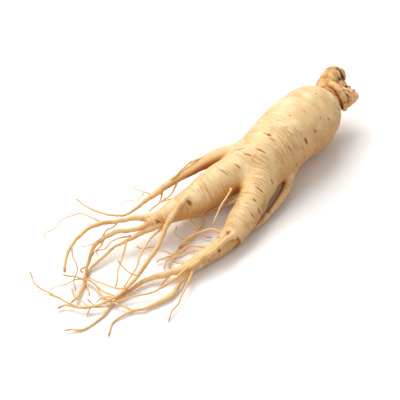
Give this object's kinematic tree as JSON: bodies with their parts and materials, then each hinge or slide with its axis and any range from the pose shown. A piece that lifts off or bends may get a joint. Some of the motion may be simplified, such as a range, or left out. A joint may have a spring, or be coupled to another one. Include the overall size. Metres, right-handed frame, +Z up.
{
  "type": "ginseng root",
  "caption": "Fresh ginseng root lying on its side: stout ringed trunk, knobbly crown, forked legs and long trailing fringe of fine roots.",
  "frame": {"origin": "middle of the root's footprint, on the surface it rests on", "axes": "+X along the root from its tips to its crown, +Z up from the resting surface, +Y to the side of the upper arm"},
  "size_m": [0.2354, 0.0835, 0.0376],
  "materials": {
    "root_flesh": "pale cream root skin with a soft waxy sheen, fine growth rings, tan shaded sides, orange-brown crown and dark scars"
  },
  "bodies": {
    "root": {"ginseng_root": "root_flesh"}
  },
  "joints": []
}
